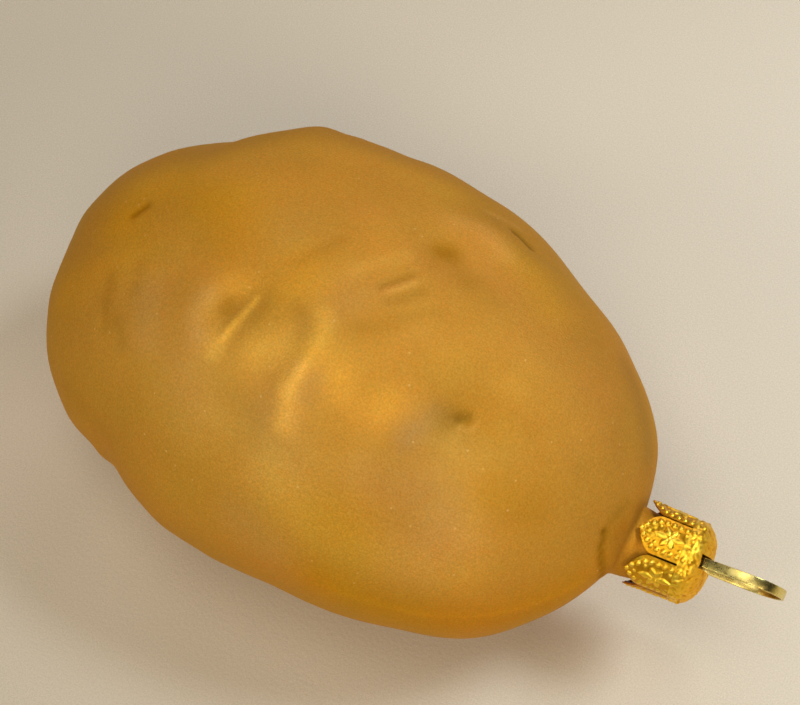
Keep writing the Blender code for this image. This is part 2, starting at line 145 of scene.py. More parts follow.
# Marks drawn with the end of a tool: height in millimetres, wear and painted light, milk, half
# width in millimetres, then two or more places along the mark, in degrees along and around. Wear
# and painted light above 0 is lacquer worn bright together with a painted highlight, strongest on
# the ridges; below 0 it is thick dull lacquer together with painted shade, darkest in the pits,
# dents, creases and the groove round the neck. Marks named shade, dark or light are mostly painted
# shade or painted light. A milk above 0 is where the silver below shows pale, below 0 where the
# lacquer is deep and clear.
TOOL_MARKS = {
    "thin ridge": (0.26, 1.9, 0.2, 0.42, (109.4, 20.5), (109.6, 27.4), (110.3, 34.6)),
    "foot of thin ridge": (0.10, 1.4, 0.3, 1.2, (111.1, 35.7), (110.3, 38.4)),
    "pit beside it": (-0.10, -1.4, -0.4, 1.1, (114.8, 25.5), (114.0, 27.1)),
    "veil left of the pit": (0.05, 0.55, 0.7, 1.3, (120.2, 26.5), (119.9, 32.2), (116.4, 37.5)),
    "shade right of thin ridge": (-0.05, -0.3, 0.0, 1.0, (107.6, 20.0), (107.2, 36.0)),
    "arched dent": (-0.04, -0.2, 0.0, 0.9, (99.4, 16.6), (96.2, 17.8), (93.5, 20.9)),
    "patch between": (0.10, 1.2, 0.3, 2.0, (100.1, 32.3), (96.1, 28.7)),
    "broad ridge": (
        0.22, 1.5, 0.1, 1.2,
        (90.5, 15.9), (88.9, 18.5), (87.8, 24.7), (87.9, 31.5), (88.3, 35.9), (85.6, 41.0),
        (84.2, 45.5),
    ),
    "crest of broad ridge": (0.10, 1.0, 0.4, 0.9, (88.0, 31.0), (88.0, 36.5)),
    "valley left of broad ridge": (-0.03, 0.3, 0.1, 0.8, (91.5, 27.2), (91.7, 33.3)),
    "valley right of broad ridge": (-0.10, -0.4, 0.4, 1.3, (82.4, 35.4), (83.2, 31.5)),
    "eye point": (-0.30, -1.3, -0.2, 0.6, (47.1, 18.6), (48.0, 19.8)),
    "eye dent": (-0.07, -0.5, 0.1, 1.2, (52.4, 20.0), (49.2, 19.2)),
    "eye speck": (0.05, 1.6, 0.4, 0.2, (47.3, 21.9), (47.1, 22.2)),
    "olive below the eye": (-0.04, -0.4, 0.2, 1.8, (53.1, 24.8), (48.0, 25.2)),
    "crescent": (-0.12, -1.1, 0.0, 0.5, (82.0, -0.6), (80.0, -4.0), (77.4, -8.6)),
    "light under crescent": (0.05, 0.7, 0.3, 0.4, (80.0, 0.2), (77.8, -2.9), (75.4, -7.6)),
    "second crescent": (-0.08, -0.7, 0.0, 0.7, (78.1, 1.8), (75.6, -1.3), (72.8, -6.1)),
    "hollow": (-0.10, -1.4, -0.8, 1.2, (75.9, -23.1), (74.5, -24.4)),
    "hollow's tail": (-0.03, -0.5, 0.0, 1.2, (71.1, -22.6), (65.6, -18.6)),
    "brow line": (-0.45, -2.6, 0.0, 0.55, (67.8, -48.4), (65.3, -48.4), (62.8, -48.1)),
    "olive beyond the brow": (-0.03, -0.3, 0.2, 0.7, (60.9, -44.0), (57.9, -48.2), (55.7, -52.5)),
    "brow light": (0.08, 0.35, 0.4, 1.3, (79.4, -35.7), (73.0, -38.6), (64.2, -36.0)),
    "brow crease": (-0.05, -0.15, 0.0, 0.7, (80.2, -47.5), (72.1, -47.2)),
    "end dash": (-0.28, -1.9, -0.6, 0.5, (149.1, 8.1), (150.3, 14.0)),
    "end arc": (-0.05, -0.6, -0.2, 0.8, (144.4, 38.0), (141.7, 45.5), (137.7, 53.3)),
    "inner end arc": (-0.04, -0.5, 0.0, 0.8, (136.3, 48.0), (131.4, 52.6)),
    "upper end arc": (-0.05, -0.5, 0.0, 0.8, (140.1, 28.2), (137.3, 37.3)),
    "light beside the arc": (0.04, 0.35, 0.0, 0.8, (140.8, 52.0), (138.1, 55.3)),
    "light of the end": (0.03, 0.2, 0.6, 2.0, (133.0, 35.5), (127.5, 46.0)),
    "neck patch": (0.06, 0.4, 0.2, 2.2, (43.6, 50.6), (38.4, 50.2)),
    "mould seam": (0.10, 0.35, 0.0, 0.6, (61.2, 83.9), (42.6, 85.5), (26.2, 84.3), (14.0, 79.0)),
    "groove round the neck": (
        -0.16, -1.9, -0.6, 0.38,
        (8.9, 84.1), (10.9, 55.6), (12.2, 42.3), (12.9, 29.8),
    ),
    "shade between ridge and crescents": (-0.02, -0.4, -0.2, 1.8, (81.8, 15.2), (77.0, 9.5)),
    "shade above the ridges": (-0.02, -0.3, -0.2, 1.8, (105.5, 6.0), (101.5, 0.1)),
    "faint groove round the neck": (
        -0.08, -0.7, -0.2, 0.4,
        (12.9, 29.8), (12.8, 20.1), (12.3, 9.3), (11.0, -3.5),
    ),
    "dark streak above the ridges": (
        -0.04, -0.5, -0.1, 0.7,
        (105.1, 5.5), (102.5, -0.4), (99.3, -6.7),
    ),
    "dark blotch by the ridge": (-0.05, -0.5, -0.1, 0.8, (97.8, 17.4), (95.9, 18.3)),
    "dark streak of the middle": (-0.02, -0.25, 0.0, 0.6, (81.0, 13.9), (75.7, 10.8), (71.1, 6.0)),
    "light over the crescents": (0.03, 0.5, 0.2, 0.9, (91.0, 0.0), (86.0, -8.0), (82.0, -14.0)),
    "third crescent": (-0.03, -0.35, 0.0, 0.6, (73.7, 5.4), (68.8, 0.7), (65.7, -4.5)),
    "flecks of the brow": (-0.02, 0.35, 0.5, 0.5, (76.6, -48.5), (72.8, -50.8), (69.1, -53.1)),
    "crest of the eye": (0.04, 0.5, 0.2, 0.3, (45.4, 18.0), (45.0, 19.9), (45.6, 21.8)),
    "flare of the neck": (
        0.42, -0.6, -0.4, 1.2,
        (7.6, 84.0), (9.4, 55.6), (10.5, 42.3), (11.1, 29.8), (10.8, 18.0),
    ),
}

# Clouds with no height, mostly of painted light and painted shade on the lacquer, and veils of its
# tone: wear and painted light, which is painted light above 0 and painted shade below 0, milk and
# half width, then the places
PAINTED_LIGHT_AND_TONE_CLOUDS = {
    "amber patch": (0.7, -0.05, 1.5, (77.7, 28.6), (75.1, 31.6)),
    "second amber patch": (1.0, -0.05, 1.9, (63.6, 26.6), (63.9, 29.7)),
    "veil beside the eye": (-0.2, 0.5, 1.4, (56.2, 30.8), (56.4, 33.4)),
    "painted light of the upper rim": (
        0.9, 0.0, 3.6,
        (152.7, -4.0), (140.6, -20.4), (126.8, -38.6), (107.3, -44.8), (89.4, -45.6),
    ),
    "painted light under the upper rim": (0.45, -0.2, 3.6, (129.4, -11.5), (114.0, -27.1)),
    "painted light of the back": (0.8, -0.3, 3.0, (56.7, -37.7), (48.6, -33.9)),
    "painted light by the neck": (0.3, 0.0, 2.8, (26.7, -6.6), (20.3, 5.3)),
    "painted light of the low side": (
        0.9, 0.0, 3.2,
        (81.3, 58.5), (71.5, 65.2), (54.9, 66.2), (37.1, 65.1),
    ),
    "painted shade of the end": (-0.35, 0.0, 4.2, (128.5, 37.6), (120.3, 45.1)),
    "painted shade of the middle": (-1.0, 0.0, 4.0, (56.0, 42.0), (49.4, 45.8)),
    "painted shade beyond the eye": (-0.6, 0.0, 4.8, (51.8, 8.8), (42.9, 11.5)),
    "painted shade above the middle": (-0.3, 0.0, 1.6, (70.2, 23.4), (68.0, 23.2)),
    "painted shade of the shoulder": (-0.6, -0.3, 2.8, (34.8, 35.2), (29.4, 36.4)),
    "painted shade by the hollow": (-0.4, 0.0, 2.2, (84.3, -23.5), (79.8, -23.7)),
    "painted shade at the end of the back": (-1.0, 0.3, 2.2, (30.0, -52.0), (14.6, -46.0)),
    "painted shade under the seam": (
        0.1, -1.1, 3.3,
        (63.3, 82.1), (50.6, 85.4), (31.6, 86.7), (14.5, 80.0),
    ),
    "painted shade of the end's rim": (-0.4, 0.0, 2.0, (139.3, 82.0), (128.4, 82.3)),
    "light at the end's arcs": (
        0.8, -0.5, 3.0,
        (151.4, 22.1), (143.0, 24.0), (148.0, 40.0), (153.0, 58.0),
    ),
    "light above the ridges": (0.7, -0.3, 2.8, (103.0, 4.0), (98.0, 9.0)),
    "clear patch of the end": (0.2, -0.7, 4.4, (152.2, 8.5), (148.2, -2.8)),
    "clear patch beside it": (0.2, -0.8, 3.8, (134.2, -1.1), (122.4, 7.1)),
    "shade below the hollow": (-0.35, 0.0, 1.8, (62.4, -20.6), (58.2, -17.9)),
    "amber cloud below the eye": (0.0, -0.15, 4.2, (42.0, 12.0), (34.6, 24.5)),
    "amber painted light of the low side": (0.0, -0.4, 2.6, (63.4, 59.3), (60.7, 60.8)),
    "painted shade beside the ridge": (-0.6, 0.0, 2.4, (97.8, 45.9), (93.1, 50.3)),
    "painted shade of the broad side": (-0.3, 0.0, 8.0, (62.0, 31.1), (44.0, 5.7)),
    "light of the low edge": (0.2, 0.0, 3.0, (104.5, 78.2), (78.6, 77.5), (60.3, 79.1)),
    "light by thin ridge": (0.7, 0.0, 1.6, (112.5, 20.0), (116.5, 30.0)),
    "amber painted light of the back": (0.0, 0.1, 6.0, (52.0, -36.0), (43.2, -29.1), (23.3, -28.4)),
    "clear patch above the ridges": (0.0, -0.4, 3.5, (104.0, 12.0), (96.0, -6.0)),
    "milk of the low side": (0.2, 0.5, 3.0, (62.0, 46.0), (46.0, 42.0)),
    "milk of the ridge's top": (0.0, 0.5, 4.0, (112.0, 2.0), (98.0, 2.0), (90.0, 10.0)),
    "milk below the thin ridge": (0.0, 0.6, 4.0, (113.0, 47.0), (108.0, 52.0)),
    "milk above the seam": (0.0, 0.6, 3.0, (84.0, 74.0), (76.0, 78.0)),
    "amber between the patches": (0.4, 0.0, 2.2, (82.0, 24.0), (70.0, 25.0), (68.0, 31.0)),
    "veil of the eye": (-0.1, 0.3, 1.2, (57.6, 33.2), (55.6, 28.6), (54.4, 23.0)),
    "light by the arcs": (0.5, 0.0, 2.6, (134.0, 22.0), (139.0, 34.0)),
    "clear patch below the eye": (0.0, 0.3, 2.4, (36.0, 24.0), (41.0, 26.0)),
    "light of the crown": (0.35, 0.0, 4.5, (128.0, -8.0), (116.0, 2.0), (106.0, 8.0)),
    "painted shade below the ridges": (-0.35, 0.0, 4.0, (84.0, 46.0), (72.0, 42.0)),
    "milk below the ridges": (0.0, 0.7, 4.0, (86.8, 46.0), (82.0, 53.0)),
    "milk of the middle": (0.0, 0.2, 2.2, (56.1, 28.6), (50.0, 35.2)),
    "milk of the shoulder": (-0.1, 0.6, 4.6, (42.5, 55.9), (45.0, 64.0)),
    "milk above the crescents": (0.2, 0.0, 3.0, (91.6, -2.4), (85.4, -15.9)),
}


def directions(along, around):
    """Unit vectors from the potato's middle, from degrees along and around."""
    along, around = np.radians(along), np.radians(around)
    side = np.multiply.outer(np.cos(around), TOPWARD) + np.multiply.outer(np.sin(around), FRONTWARD)
    return np.multiply.outer(np.cos(along), POLE) + np.sin(along)[..., None] * side


def plain_surface(ways):
    """Points and outward normals of the plain bubble along these unit vectors."""
    own = ways @ LYING.T
    points = own / np.linalg.norm(own / HALF_SIZES, axis=-1, keepdims=True)
    normals = unit(points / HALF_SIZES**2)
    return points @ LYING + BODY_CENTRE, normals @ LYING


def plain_place(along, around):
    """The same for places in degrees along and around."""
    return plain_surface(directions(np.array(along, float), np.array(around, float)))


def lump_height(points):
    """The height of all lumps and waves together at points of the plain bubble."""
    total = np.zeros(points.shape[:-1])
    swells = [*LUMPS.values(), *FINE_WAVES.values()]
    for along, around, height, reach_along, reach_around in swells:
        here, out = plain_place(along, around)
        lengthwise = unit(np.cross(np.cross(out, -POLE), out))
        sidewise = np.cross(out, lengthwise)
        away = (points - here) / MM
        spread = (
            (away @ lengthwise / reach_along) ** 2
            + (away @ sidewise / reach_around) ** 2
            + (away @ out / max(reach_along, reach_around)) ** 2
        )
        total += height * np.exp(-0.5 * spread)
    return total * MM


def marked(points):
    """Height, wear with painted light and shade, and milk of all marks and clouds, each one fading
    across and at its ends.
    """
    height_here, wear_and_painted_light_here, milk_here = np.zeros((3, *points.shape[:-1]))
    clouds = [(0.0, *cloud) for cloud in PAINTED_LIGHT_AND_TONE_CLOUDS.values()]
    for height, wear_and_painted_light, milk, half_width, *places in [*TOOL_MARKS.values(), *clouds]:
        nearest = np.full(height_here.shape, np.inf)
        ends = [plain_place(*place)[0] for place in places]
        for start, end in zip(ends, ends[1:]):
            run = end - start
            share = np.clip((points - start) @ run / (run @ run), 0, 1)
            away = points - (start + share[..., None] * run)
            nearest = np.minimum(nearest, np.linalg.norm(away, axis=-1) / MM)
        shape = np.exp(-0.5 * (nearest / half_width) ** 2)
        height_here += height * MM * shape
        wear_and_painted_light_here += wear_and_painted_light * shape
        milk_here += milk * shape
    return height_here, wear_and_painted_light_here, milk_here


def skin(ways, inset=0.0):
    """The potato's skin along unit vectors, or a surface so far under it, with its wear and painted
    light and shade, and its milk.
    """
    points, normals = plain_surface(ways)
    height, wear_and_painted_light, milk = marked(points)
    points = points + (lump_height(points) + height - inset)[..., None] * normals
    points[..., 2] = np.maximum(points[..., 2], inset)
    return points, wear_and_painted_light, milk


def points_of(piece):
    flat = np.empty(3 * len(piece.data.vertices))
    piece.data.vertices.foreach_get("co", flat)
    return flat.reshape(-1, 3)


def move_points(piece, points):
    piece.data.vertices.foreach_set("co", np.ascontiguousarray(points, float).ravel())
    piece.data.update()


def deselect_all():
    bpy.ops.object.select_all(action="DESELECT")


def select_only(piece):
    deselect_all()
    piece.select_set(True)
    bpy.context.view_layer.objects.active = piece


def blow_bubble(name, around_count, ring_count, inset):
    """A round bubble with its pole towards the neck, worked to the potato's skin."""
    deselect_all()
    bpy.ops.mesh.primitive_uv_sphere_add(segments=around_count, ring_count=ring_count, radius=1.0)
    bubble = bpy.context.object
    bubble.name = name
    round_places = points_of(bubble)
    ways = round_places @ np.stack([TOPWARD, FRONTWARD, POLE])
    points, wear_and_painted_light, milk = skin(ways, inset)
    move_points(bubble, points)
    around = np.degrees(np.arctan2(round_places[:, 1], round_places[:, 0]))
    for layer, values in (("around", around), ("wear_and_painted_light", wear_and_painted_light), ("milk", milk)):
        bubble.data.attributes.new(layer, "FLOAT", "POINT").data.foreach_set("value", values)
    return bubble


def open_bubble(bubble, along):
    """Cut the round of glass away that faces the neck, this many degrees from its pole."""
    select_only(bubble)
    bpy.ops.object.mode_set(mode="EDIT")
    bpy.ops.mesh.select_mode(type="VERT")
    bpy.ops.mesh.select_all(action="DESELECT")
    mesh = bmesh.from_edit_mesh(bubble.data)
    least = np.cos(np.radians(along))
    for vertex in mesh.verts:
        way = np.array(vertex.co) - BODY_CENTRE
        vertex.select = bool(unit(way) @ POLE > least)
    mesh.select_flush_mode()
    bmesh.update_edit_mesh(bubble.data)
    bpy.ops.mesh.delete(type="VERT")


def draw_out(piece, layer_names, place):
    """Pull the selected edge or face out by one step; `place` says where its points then lie."""
    bpy.ops.mesh.extrude_region_move()
    mesh = bmesh.from_edit_mesh(piece.data)
    chosen = [vertex for vertex in mesh.verts if vertex.select]
    layers = [mesh.verts.layers.float[name] for name in layer_names]
    values = [np.array([vertex[layer] for vertex in chosen]) for layer in layers]
    for vertex, point in zip(chosen, place(*values)):
        vertex.co = Vector(point)
    bmesh.update_edit_mesh(piece.data)


def neck_point(x, radius, around):
    """A point of the neck, from its place along, its radius and the degrees around."""
    angle = np.radians(around)
    level = x + 0 * angle
    return np.stack([level, NECK_Y - radius * np.sin(angle), NECK_Z + radius * np.cos(angle)], -1)


# The soft curve at the neck's foot starts this many degrees from the pole, and the glass is opened
# a little inside it. The curve reaches further out on its top side: how far, about which degree
# around, and with what reach in degrees
OPENING = np.degrees((NECK_ROOT_RADIUS + NECK_FILLET) / FOOT_DISTANCE)
OPENING_LIP = 0.3
FOOT_LIFT = 1.2 * MM
FOOT_LIFT_AROUND, FOOT_LIFT_REACH = 34, 38
FILLET_STEPS = 8


def fillet_point(share, around):
    """The soft curve that turns the potato's skin into the neck."""
    corner_along = np.degrees(NECK_ROOT_RADIUS / FOOT_DISTANCE)
    start = skin(directions(OPENING + 0 * around, around))[0]
    corner = skin(directions(corner_along + 0 * around, around))[0]
    lift = FOOT_LIFT * np.exp(-0.5 * ((around - FOOT_LIFT_AROUND) / FOOT_LIFT_REACH) ** 2)
    end = neck_point(NECK_ROOT_X + lift, NECK_ROOT_RADIUS, around)
    return (1 - share) ** 2 * start + 2 * share * (1 - share) * corner + share**2 * end


AROUND_COUNT, RING_COUNT = 336, 220
INSIDE_AROUND_COUNT, INSIDE_RING_COUNT = 56, 44
SHARP_EDGE = np.radians(50)

potato = blow_bubble("blown_potato", AROUND_COUNT, RING_COUNT, 0.0)
open_bubble(potato, OPENING - OPENING_LIP)
bpy.ops.mesh.select_all(action="DESELECT")
bpy.ops.mesh.select_non_manifold(extend=False)
for share in np.linspace(0, 1, FILLET_STEPS + 1)[1:]:
    draw_out(potato, ["around"], lambda around: fillet_point(share, around))

# From the fillet out to the rim, over it and back inside: x and radius
neck_profile = [
    (48.5 * MM, 5.02 * MM),
    (48.9 * MM, 4.91 * MM),
    (49.3 * MM, NECK_RADIUS),
    (52.0 * MM, NECK_RADIUS),
    (NECK_RIM_X - RIM_ROUND, NECK_RADIUS),
    (NECK_RIM_X, NECK_RADIUS - RIM_ROUND),
    (NECK_RIM_X, NECK_RADIUS - GLASS_WALL + RIM_ROUND),
    (NECK_RIM_X - RIM_ROUND, NECK_RADIUS - GLASS_WALL),
    (NECK_FOOT_X + GLASS_WALL, NECK_RADIUS - GLASS_WALL),
]
for x, radius in neck_profile:
    draw_out(potato, ["around"], lambda around: neck_point(x, radius, around))
bpy.ops.object.mode_set(mode="OBJECT")

# The inside of the glass is a coarser bubble, turned inside out and joined on at the neck
hollow = blow_bubble("hollow", INSIDE_AROUND_COUNT, INSIDE_RING_COUNT, GLASS_WALL)
open_bubble(hollow, OPENING)
bpy.ops.mesh.select_all(action="SELECT")
bpy.ops.mesh.flip_normals()
bpy.ops.object.mode_set(mode="OBJECT")
select_only(potato)
hollow.select_set(True)
bpy.ops.object.join()
bpy.ops.object.mode_set(mode="EDIT")
bpy.ops.mesh.select_all(action="DESELECT")
bpy.ops.mesh.select_non_manifold(extend=False)
bpy.ops.mesh.bridge_edge_loops()
bpy.ops.object.mode_set(mode="OBJECT")
bpy.ops.object.shade_smooth_by_angle(angle=SHARP_EDGE)


# The lacquer is a satin gold-brown coat over the silvered glass. It lies thick and olive in the
# dents, darkened further there with painted shade, is rubbed bright and yellow on the ridges,
# lightened further there with painted highlights, carries clouds of painted light and painted
# shade, and has a fine grain from the spray.
class Finish:
    """A material being built: its node tree, its main shader and the piece's own coordinates."""

    def __init__(self, name):
        self.material = bpy.data.materials.new(name)
        self.material.use_nodes = True
        self.tree = self.material.node_tree
        self.shader = self.tree.nodes["Principled BSDF"]
        self.place = self.node("ShaderNodeTexCoord").outputs["Object"]

    def node(self, kind, **settings):
        made = self.tree.nodes.new(kind)
        for key, value in settings.items():
            setattr(made, key, value)
        return made

    def join(self, source, target):
        self.tree.links.new(source, target)

    def noise(self, scale, detail=2.0, roughness=0.5):
        made = self.node("ShaderNodeTexNoise")
        made.inputs["Scale"].default_value = scale
        made.inputs["Detail"].default_value = detail
        made.inputs["Roughness"].default_value = roughness
        self.join(self.place, made.inputs["Vector"])
        return made.outputs["Fac"]

    def ramp(self, source, *stops):
        """Colours along a value: each stop is a position and a colour."""
        made = self.node("ShaderNodeValToRGB")
        band = made.color_ramp.elements
        while len(band) < len(stops):
            band.new(0.5)
        for element, (position, colour) in zip(band, stops):
            element.position = position
            element.color = (*colour, 1.0)
        self.join(source, made.inputs["Fac"])
        return made.outputs["Color"]

    def spread(self, source, low, high, new_low, new_high):
        """A value moved from one range to another, and held at the new one's ends."""
        made = self.node("ShaderNodeMapRange")
        ends = {"From Min": low, "From Max": high, "To Min": new_low, "To Max": new_high}
        for name, value in ends.items():
            made.inputs[name].default_value = value
        self.join(source, made.inputs["Value"])
        return made.outputs["Result"]

    def blend(self, share, first, second, how="MIX"):
        """Two colours mixed; each share or colour is a socket or a plain value."""
        made = self.node("ShaderNodeMix", data_type="RGBA", blend_type=how)
        factor, colour_a, colour_b = made.inputs[0], made.inputs[6], made.inputs[7]
        for socket, value in ((factor, share), (colour_a, first), (colour_b, second)):
            if isinstance(value, bpy.types.NodeSocket):
                self.join(value, socket)
            elif isinstance(value, tuple):
                socket.default_value = (*value, 1.0)
            else:
                socket.default_value = value
        return made.outputs[2]

    def tint(self, colour, source, *stops):
        """A colour multiplied by the colours along a value."""
        return self.blend(1.0, colour, self.ramp(source, *stops), "MULTIPLY")

    def along_x(self, low, high):
        """A value that goes from 0 to 1 along the neck's direction, between these two places."""
        made = self.node("ShaderNodeSeparateXYZ")
        self.join(self.place, made.inputs["Vector"])
        return self.spread(made.outputs["X"], low, high, 0.0, 1.0)

    def attribute(self, name):
        """A value that the mesh carries at its points."""
        return self.node("ShaderNodeAttribute", attribute_name=name).outputs["Fac"]

    def bump(self, height, depth, before=None):
        """Raise the surface by a value from 0 to 1, over this depth in metres."""
        made = self.node("ShaderNodeBump")
        made.inputs["Distance"].default_value = depth
        self.join(height, made.inputs["Height"])
        if before is not None:
            self.join(before, made.inputs["Normal"])
        return made.outputs["Normal"]

    def coat(self, piece):
        """Give a piece this finish and no other."""
        piece.data.materials.clear()
        piece.data.materials.append(self.material)


DULLEST_WEAR_AND_DEEPEST_SHADE, BRIGHTEST_WEAR_AND_LIGHT = -3.0, 1.5
FULL_MILK = 1.5
COPPER_FROM, COPPER_TO = 45.0 * MM, 48.0 * MM
SHADE_UNDER_CAP_FROM, SHADE_UNDER_CAP_TO = 50.0 * MM, 52.0 * MM
GRAIN_DEPTH = 0.04 * MM
SOFT_WAVE_DEPTH = 0.10 * MM
SPRAY_FROM = (0.39, 0.84, 0.375)
SPRAY_LOW, SPRAY_HIGH = -8.0 * MM, 20.0 * MM

# From thick olive lacquer darkened with painted shade to rubbed yellow lacquer lightened with
# painted highlights, then paler or clearer with the milk
lacquer = Finish("satin_lacquer")
tone = lacquer.ramp(
    lacquer.spread(lacquer.attribute("wear_and_painted_light"), DULLEST_WEAR_AND_DEEPEST_SHADE, BRIGHTEST_WEAR_AND_LIGHT, 0.0, 1.0),
    (0.0, (0.34, 0.170, 0.014)),
    (0.333, (0.56, 0.277, 0.028)),
    (0.667, (0.78, 0.388, 0.052)),
    (1.0, (1.00, 0.522, 0.066)),
)
milk = lacquer.attribute("milk")
pale_share = lacquer.spread(milk, 0.0, FULL_MILK, 0.0, 1.0)
tone = lacquer.blend(pale_share, tone, (0.0, 0.045, 0.075), "ADD")
clear_share = lacquer.spread(milk, 0.0, -FULL_MILK, 0.0, 1.0)
tone = lacquer.blend(clear_share, tone, (1.0, 0.88, 0.1), "MULTIPLY")
drifts = lacquer.noise(55.0, 4.0, 0.55)
tone = lacquer.tint(tone, drifts, (0.32, (0.92, 0.985, 0.88)), (0.68, (1.0, 0.955, 1.0)))

# Coppery at the neck's foot, and painted shade, nearly black, where the cap covers the neck
tone = lacquer.blend(lacquer.along_x(COPPER_FROM, COPPER_TO), tone, (0.68, 0.315, 0.024))
tone = lacquer.blend(lacquer.along_x(SHADE_UNDER_CAP_FROM, SHADE_UNDER_CAP_TO), tone, (0.10, 0.05, 0.02))

# The grain, the side that more of the spray reached, the mottle and a few bright specks
grain = lacquer.noise(3600.0, 2.0, 0.6)
tone = lacquer.tint(tone, grain, (0.25, (0.73, 0.73, 0.67)), (0.75, (1.0, 1.0, 1.0)))
sprayed = lacquer.node("ShaderNodeVectorMath", operation="DOT_PRODUCT")
sprayed.inputs[1].default_value = SPRAY_FROM
lacquer.join(lacquer.place, sprayed.inputs[0])
spray_share = lacquer.spread(sprayed.outputs["Value"], SPRAY_LOW, SPRAY_HIGH, 0.0, 1.0)
tone = lacquer.tint(tone, spray_share, (0.0, (0.98, 1.0, 1.0)), (1.0, (1.0, 0.97, 1.0)))
mottle = lacquer.noise(1100.0, 3.0, 0.6)
tone = lacquer.tint(tone, mottle, (0.3, (1.0, 0.940, 0.78)), (0.7, (0.975, 1.0, 1.0)))
specks = lacquer.node("ShaderNodeTexVoronoi")
specks.inputs["Scale"].default_value = 330.0
lacquer.join(lacquer.place, specks.inputs["Vector"])
speck_share = lacquer.spread(specks.outputs["Distance"], 0.04, 0.07, 0.3, 0.0)
tone = lacquer.blend(speck_share, tone, (0.95, 0.66, 0.25))
lacquer.join(tone, lacquer.shader.inputs["Base Color"])

# A satin shine, half metal because the silver shows through
lacquer.shader.inputs["Metallic"].default_value = 0.6
lacquer.shader.inputs["Specular IOR Level"].default_value = 0.25
lacquer.shader.inputs["Specular Tint"].default_value = (0.70, 0.55, 0.40, 1.0)
satin = lacquer.spread(lacquer.noise(160.0, 3.0), 0.3, 0.7, 0.56, 0.66)
lacquer.join(satin, lacquer.shader.inputs["Roughness"])
soft_waves = lacquer.bump(lacquer.noise(240.0, 3.0), SOFT_WAVE_DEPTH)
lacquer.join(lacquer.bump(grain, GRAIN_DEPTH, soft_waves), lacquer.shader.inputs["Normal"])
lacquer.coat(potato)
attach(potato, "root")
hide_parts("glass_potato")


# ---- The crown cap ----
# A stock cap stamped from thin brass sheet and gilded: a domed top, a rounded shoulder, a short
# band and six pointed leaves with a raised flower and a beaded border. It slips over the neck.

CAP_SHEET = 0.2 * MM
CAP_TOP_X = 58.7 * MM
CAP_Y = NECK_Y + 0.2 * MM
CAP_Z = NECK_Z + 0.18 * MM
CAP_RADIUS = 6.0 * MM
DOME_RISE = 1.15 * MM
SHOULDER_DEPTH = 1.75 * MM
SHOULDER_BREADTH = 3.2 * MM
CAP_LENGTH = 10.8 * MM
LEAF_COUNT = 6
LEAF_FREE_LENGTH = 6.8 * MM
LEAF_POINT_LENGTH = 2.9 * MM
LEAF_GAP = 0.3 * MM
LEAF_FLARE = 0.15 * MM
LEAF_TURN = 7.5
LEAF_COLUMNS = 52
TOP_ROWS, SHOULDER_ROWS, BAND_ROWS, LEAF_ROWS = 12, 26, 11, 74
BAND_END = CAP_LENGTH - LEAF_FREE_LENGTH


def sheet_profile():
    """The sheet from the middle of the top to a leaf's tip: x, radius and run, and its normals."""
    flat_radius = CAP_RADIUS - SHOULDER_BREADTH
    outline = [(radius, 0.0) for radius in np.linspace(0, flat_radius, TOP_ROWS + 1)[:-1]]
    for turn in np.linspace(0, np.pi / 2, SHOULDER_ROWS + 1)[:-1]:
        out, drop = SHOULDER_BREADTH * np.sin(turn), SHOULDER_DEPTH * (1 - np.cos(turn))
        outline.append((flat_radius + out, drop))
    rows = [(radius, drop + DOME_RISE * (radius / CAP_RADIUS) ** 2) for radius, drop in outline]
    band = np.linspace(DOME_RISE + SHOULDER_DEPTH, BAND_END, BAND_ROWS + 1)[:-1]
    leaf = np.linspace(BAND_END, CAP_LENGTH, LEAF_ROWS + 1)
    for run in [*band, *leaf]:
        free = max(run - BAND_END, 0.0) / LEAF_FREE_LENGTH
        rows.append((CAP_RADIUS + LEAF_FLARE * free**2, run))
    profile = np.array([(CAP_TOP_X - run, radius, run) for radius, run in rows])
    slope = unit(np.gradient(profile[:, :2], axis=0))
    return profile, np.stack([slope[:, 1], -slope[:, 0]], -1)


def leaf_half_angle(run):
    """Half the angle that a leaf fills at this distance down the cap, in radians."""
    whole = np.pi / LEAF_COUNT
    half = np.where(run <= BAND_END + 1e-9, whole, whole - 0.5 * LEAF_GAP / CAP_RADIUS)
    share = np.clip((run - (CAP_LENGTH - LEAF_POINT_LENGTH)) / LEAF_POINT_LENGTH, 0, 1)
    return half * (1 - share**2)


def dome(away, radius):
    """A round boss, 1 in its middle and 0 at its foot."""
    return np.sqrt(np.clip(1 - (away / radius) ** 2, 0, 1))


# The pattern of a leaf, in millimetres: across from its middle line, and down from the cap's top
FLOWER_DOWN = 6.4
PETAL_LENGTHS = (1.75, 2.45)
PETAL_HALF_WIDTH = 0.50
PETAL_START = 0.2
BEAD_PATH = [(2.17, 2.55), (2.17, 8.0), (0.90, 9.85), (0.0, 10.5)]
BEADS_PER_SIDE = 10
BEAD_RADIUS = 0.38

# Other dots, the same on both sides: across, down, height as a share of a bead's, and radius
DOTS = [
    (0.0, FLOWER_DOWN, 0.9, 0.28),
    (1.35, 8.1, 0.6, 0.24),
    (1.35, 4.4, 0.6, 0.24),
    (0.75, 3.35, 0.5, 0.3),
    (0.0, 9.35, 0.7, 0.28),
]


